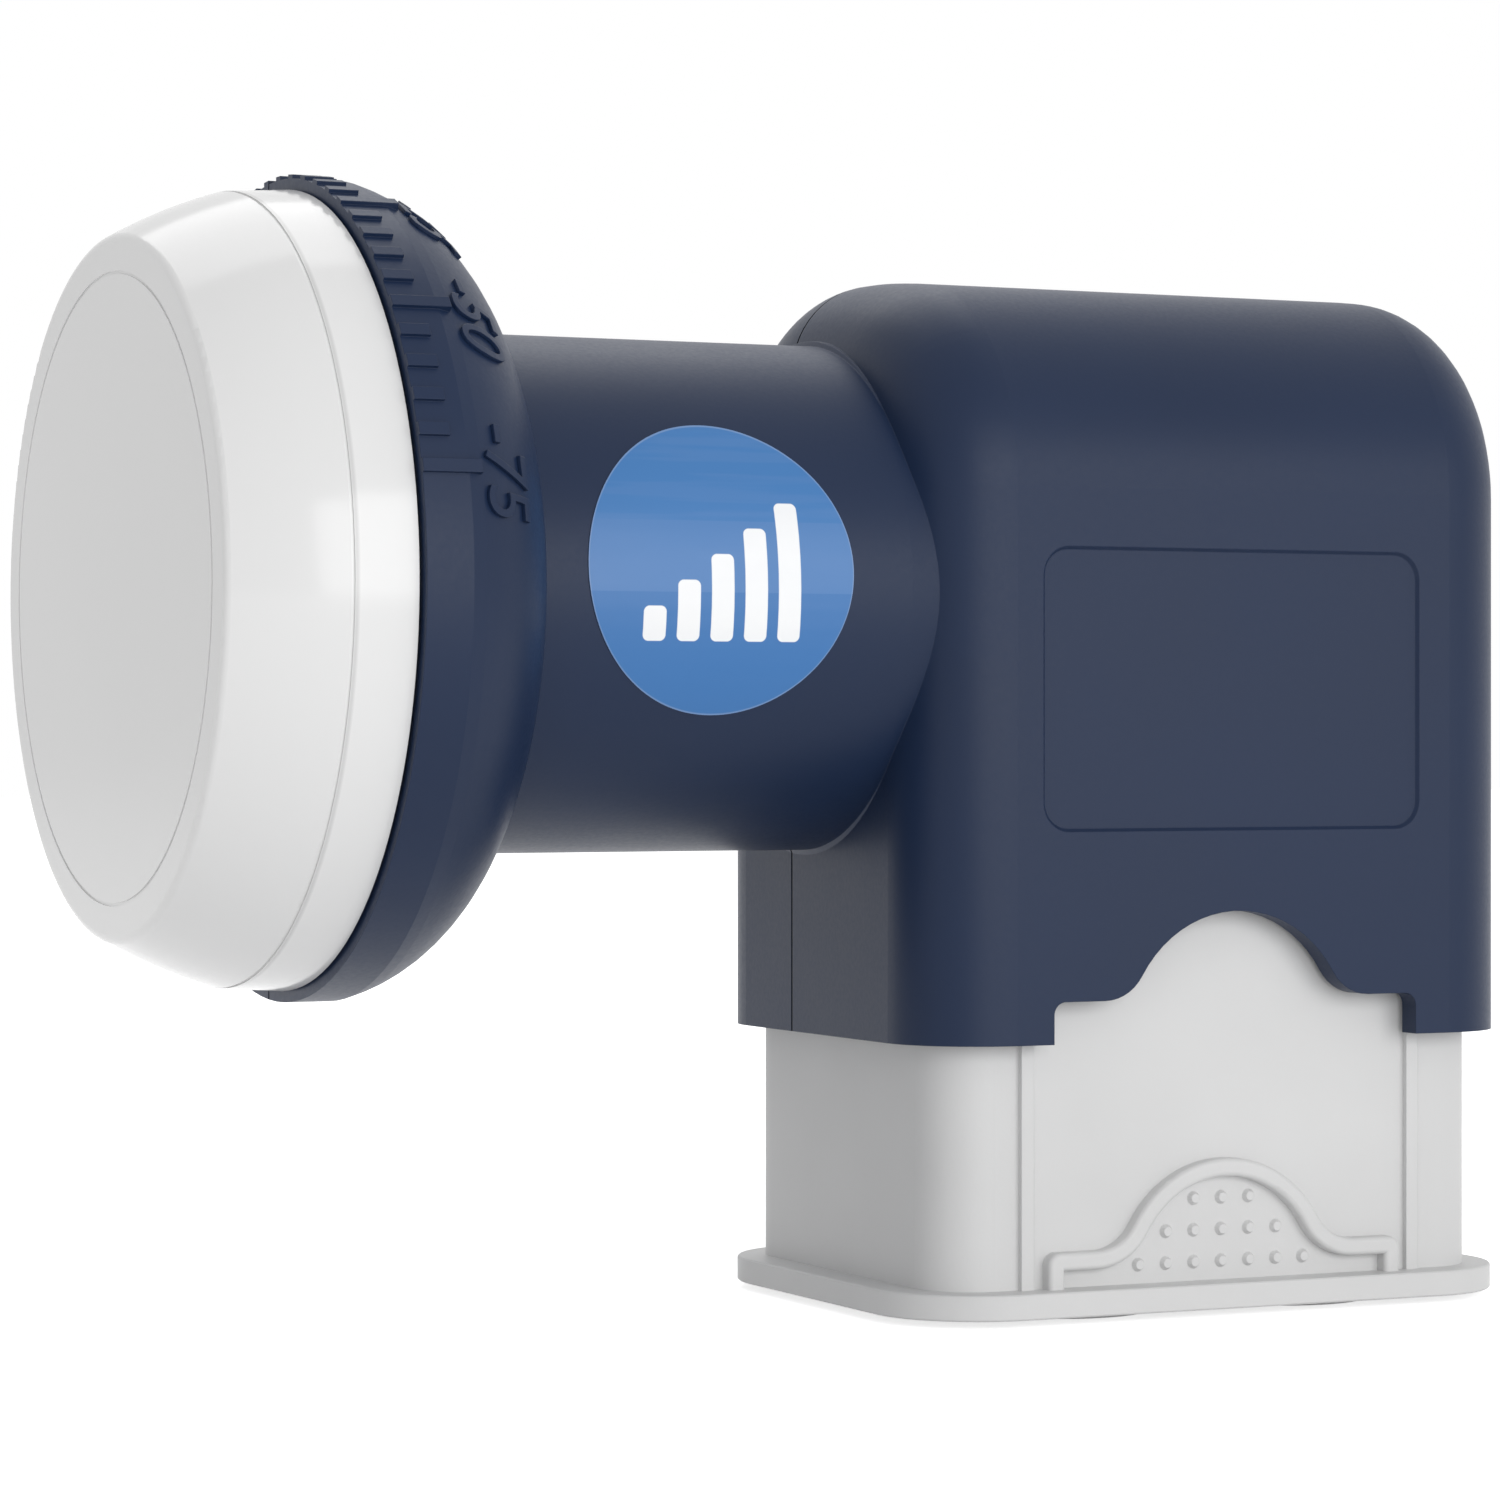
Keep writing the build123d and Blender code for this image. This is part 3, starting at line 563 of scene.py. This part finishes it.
class LNB_OT_scale_numbers(bpy.types.Operator):
    """Add the raised numbers of the skew scale on the collar."""

    bl_idname = "lnb.scale_numbers"
    bl_label = "Scale numbers"

    def execute(self, context):
        for angle in SCALE_ANGLES:
            self.add_number(angle)
        return {"FINISHED"}

    def add_number(self, angle):
        size = sizes()
        start_alone()
        bpy.ops.object.text_add()
        number = bpy.context.object
        number.data.body = str(angle)
        number.data.align_x = "CENTER"
        number.data.size = size.number_height / DIGIT_SHARE
        number.data.resolution_u = DIGIT_CURVE
        bpy.ops.object.convert(target="MESH")
        number = bpy.context.object
        cut_across(number, 0, size.number_cut)
        cut_across(number, 1, size.number_cut)
        turn = math.radians(-angle)
        lift = near_high.z + LAY_FROM
        foot = near_low.x + size.number_foot
        number.rotation_mode = "ZYX"
        number.rotation_euler = (turn, 0.0, math.radians(-90))
        number.location = (foot, -math.sin(turn) * lift, math.cos(turn) * lift)
        half = "housing_near_half" if angle <= 0 else "housing_far_half"
        lay_on(number, half, size.number_raise)
        sign = "minus_" if angle < 0 else ""
        settle(number, f"scale_number_{sign}{abs(angle)}", "housing_plastic")


class LNB_OT_label(bpy.types.Operator):
    """Add the round printed label on the near side of the neck."""

    bl_idname = "lnb.label"
    bl_label = "Label"

    def execute(self, context):
        size = sizes()
        start_alone()
        bpy.ops.mesh.primitive_circle_add(
            vertices=LABEL_SIDES, radius=size.label_radius, fill_type="NGON"
        )
        label = bpy.context.object
        cut_across(label, 1, LABEL_CUT)
        label.rotation_euler = (math.radians(90), 0.0, 0.0)
        label.location = (size.label_middle_x, near_low.y - LAY_FROM, size.label_middle_z)
        lay_on(label, "housing_near_half", size.label_film)
        settle(label, "neck_label", "label_film")
        return {"FINISHED"}


class LNB_OT_outlets(bpy.types.Operator):
    """Build the threaded shells of the cable outlets."""

    bl_idname = "lnb.outlets"
    bl_label = "Outlets"

    def execute(self, context):
        rows = frame["record"]["mounts"]
        mounts = [row for row in rows if row["name"].startswith("cable_outlet")]
        shells = [self.add_shell(mounts[0])]
        while len(shells) < len(mounts):
            shells.append(self.copy(shells[0]))
        for shell, mount in zip(shells, mounts):
            number = mount["name"].rsplit("_", 1)[1]
            shell.location.x, shell.location.y, _ = mount["pos_m"]
            settle(shell, f"outlet_shell_{number}", "nickel_plate")
            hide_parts(f"connector_shell_{number}")
        return {"FINISHED"}

    def copy(self, shell):
        start_alone()
        shell.select_set(True)
        bpy.context.view_layer.objects.active = shell
        bpy.ops.object.duplicate()
        return bpy.context.object

    def add_shell(self, mount):
        """One shell on the Z axis, at the height of its outlet."""
        size = sizes()
        number = mount["name"].rsplit("_", 1)[1]
        low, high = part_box(f"connector_shell_{number}")
        washer_low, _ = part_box(f"connector_washer_{number}")
        major = mount["dims"]["r_mm"] * MM
        root = major - size.thread_depth
        nut_top = washer_low.z
        nut_foot = mount["pos_m"][2] + mount["dims"]["length_mm"] * MM / 2
        parts = [
            self.nut(nut_foot, nut_top, (high.x - low.x) / 2),
            self.barrel(low.z, nut_top, root),
            self.barrel(nut_top - size.nut_bevel, high.z, size.stud_radius),
            self.ridge(low.z + size.thread_depth, nut_foot, root, major),
        ]
        start_alone()
        for part in parts:
            part.select_set(True)
        bpy.context.view_layer.objects.active = parts[0]
        bpy.ops.object.join()
        return bpy.context.object

    def nut(self, foot, top, radius):
        """The hexagon, with a hole that the barrel fills."""
        start_alone()
        bpy.ops.mesh.primitive_cylinder_add(
            vertices=NUT_SIDES, radius=radius, depth=top - foot,
            location=(0.0, 0.0, (foot + top) / 2), rotation=(0.0, 0.0, NUT_TURN),
        )
        nut = bpy.context.object
        bevel = sizes().nut_bevel
        self.bore(nut, radius * math.cos(NUT_TURN) - sizes().stud_bore - bevel / 2)
        apply_modifier(nut, "BEVEL", width=bevel, segments=2)
        return nut

    def barrel(self, foot, top, radius):
        """A round tube with the outlet's hole."""
        start_alone()
        bpy.ops.mesh.primitive_cylinder_add(
            vertices=BARREL_SIDES, radius=radius, depth=top - foot,
            location=(0.0, 0.0, (foot + top) / 2),
        )
        tube = bpy.context.object
        self.bore(tube, radius - sizes().stud_bore)
        return tube

    def bore(self, solid, wall):
        """Opens a hole through both ends of a solid and leaves a wall round it."""
        bpy.ops.object.mode_set(mode="EDIT")
        bpy.ops.mesh.select_mode(type="FACE")
        bpy.ops.mesh.select_all(action="DESELECT")
        bpy.ops.object.mode_set(mode="OBJECT")
        for face in solid.data.polygons:
            face.select = abs(face.normal.z) > 0.9
        bpy.ops.object.mode_set(mode="EDIT")
        bpy.ops.mesh.inset(thickness=wall, use_individual=True)
        bpy.ops.mesh.bridge_edge_loops()
        bpy.ops.object.mode_set(mode="OBJECT")

    def ridge(self, foot, top, root, major):
        """The thread: a three-sided section that climbs round the barrel."""
        pitch = sizes().thread_pitch
        start_alone()
        bpy.ops.mesh.primitive_circle_add(vertices=3, radius=pitch)
        thread = bpy.context.object
        sunk = root - (major - root) * THREAD_SINK
        half = THREAD_HALF * pitch
        section = ((major, 0, 0), (sunk, 0, half), (sunk, 0, -half))
        for vertex, spot in zip(thread.data.vertices, section):
            vertex.co = spot
        apply_modifier(
            thread, "SCREW", axis="Z", angle=2 * math.pi, screw_offset=pitch,
            steps=THREAD_STEPS, render_steps=THREAD_STEPS,
            iterations=int((top - foot) / pitch) - 1, use_normal_calculate=True,
        )
        bpy.ops.object.mode_set(mode="EDIT")
        bpy.ops.mesh.select_all(action="SELECT")
        bpy.ops.mesh.fill_holes(sides=3)
        bpy.ops.mesh.normals_make_consistent(inside=False)
        bpy.ops.object.mode_set(mode="OBJECT")
        thread.location = (0.0, 0.0, foot + pitch / 2)
        return thread


class LNB_OT_stage(bpy.types.Operator):
    """Set the floor, the light and the camera of the photograph's view."""

    bl_idname = "lnb.stage"
    bl_label = "Stage"

    def execute(self, context):
        light = context.scene.lnb_light
        self.add_floor()
        self.add_world(context.scene, light)
        self.add_lamp("front_softbox", *FRONT_SOFTBOX, light.front_power)
        self.add_lamp("back_softbox", *BACK_SOFTBOX, light.back_power)
        self.add_camera(context.scene)
        context.scene.view_settings.view_transform = "Standard"
        return {"FINISHED"}

    def add_floor(self):
        start_alone()
        bpy.ops.mesh.primitive_plane_add(size=FLOOR_SIZE, location=(0.0, 0.0, cad_low.z))
        floor = bpy.context.object
        floor.name = "floor"
        finish = Finish("floor")
        paper = finish.mix(finish.noise(20 * MM), (0.9, 0.9, 0.9), (0.92, 0.92, 0.92))
        finish.set(base_color=paper, roughness=0.9)
        glow = finish.node("ShaderNodeEmission", {}, {"Strength": finish.seen() * FLOOR_GLOW})
        lit = Signal(finish, finish.shader.outputs["BSDF"])
        both = finish.node("ShaderNodeAddShader", {}, {0: lit, 1: glow})
        finish.feed(finish.tree.nodes["Material Output"].inputs["Surface"], both)
        floor.data.materials.append(finish.material)

    def add_world(self, scene, light):
        """White where it is seen, and an even room for the rest of the light."""
        world = bpy.data.worlds.new("studio")
        scene.world = world
        world.use_nodes = True
        nodes = Nodes(world.node_tree)
        shader = nodes.tree.nodes["Background"]
        nodes.feed(shader.inputs["Color"], (1.0, 1.0, 1.0))
        nodes.feed(shader.inputs["Strength"], nodes.seen().at_least(light.room))

    def add_lamp(self, name, place, width, height, power):
        start_alone()
        bpy.ops.object.light_add(type="AREA", location=place)
        lamp = bpy.context.object
        lamp.name = name
        lamp.data.shape = "RECTANGLE"
        lamp.data.size = width
        lamp.data.size_y = height
        lamp.data.energy = power
        lamp.rotation_euler = Vector(place).to_track_quat("Z", "Y").to_euler()

    def add_camera(self, scene):
        start_alone()
        bpy.ops.object.camera_add(location=CAMERA_PLACE, rotation=CAMERA_TURN)
        camera = bpy.context.object
        camera.name = "camera"
        camera.data.sensor_width = CAMERA_SENSOR
        camera.data.lens = CAMERA_LENS
        camera.data.shift_x, camera.data.shift_y = CAMERA_SHIFT
        camera.data.clip_start = CAMERA_NEAR
        scene.camera = camera


class LNB_PT_panel(bpy.types.Panel):
    """The steps of the model in the sidebar."""

    bl_idname = "LNB_PT_panel"
    bl_label = "Satellite LNB"
    bl_space_type = "VIEW_3D"
    bl_region_type = "UI"
    bl_category = "LNB"

    def draw(self, context):
        for group in (context.scene.lnb_colours, context.scene.lnb_sizes, context.scene.lnb_light):
            for key in group.__annotations__:
                self.layout.prop(group, key)
        for step in STEPS:
            self.layout.operator(step.bl_idname)


STEPS = (LNB_OT_finishes, LNB_OT_scale_numbers, LNB_OT_label, LNB_OT_outlets, LNB_OT_stage)
CLASSES = (LNB_PG_colours, LNB_PG_sizes, LNB_PG_light, *STEPS, LNB_PT_panel)


def register():
    for entry in CLASSES:
        bpy.utils.register_class(entry)
    bpy.types.Scene.lnb_colours = bpy.props.PointerProperty(type=LNB_PG_colours)
    bpy.types.Scene.lnb_sizes = bpy.props.PointerProperty(type=LNB_PG_sizes)
    bpy.types.Scene.lnb_light = bpy.props.PointerProperty(type=LNB_PG_light)


def unregister():
    del bpy.types.Scene.lnb_colours
    del bpy.types.Scene.lnb_sizes
    del bpy.types.Scene.lnb_light
    for entry in reversed(CLASSES):
        bpy.utils.unregister_class(entry)


def main():
    register()
    bpy.ops.lnb.finishes()
    bpy.ops.lnb.scale_numbers()
    bpy.ops.lnb.label()
    bpy.ops.lnb.outlets()
    bpy.ops.lnb.stage()


if __name__ == "__main__":
    main()
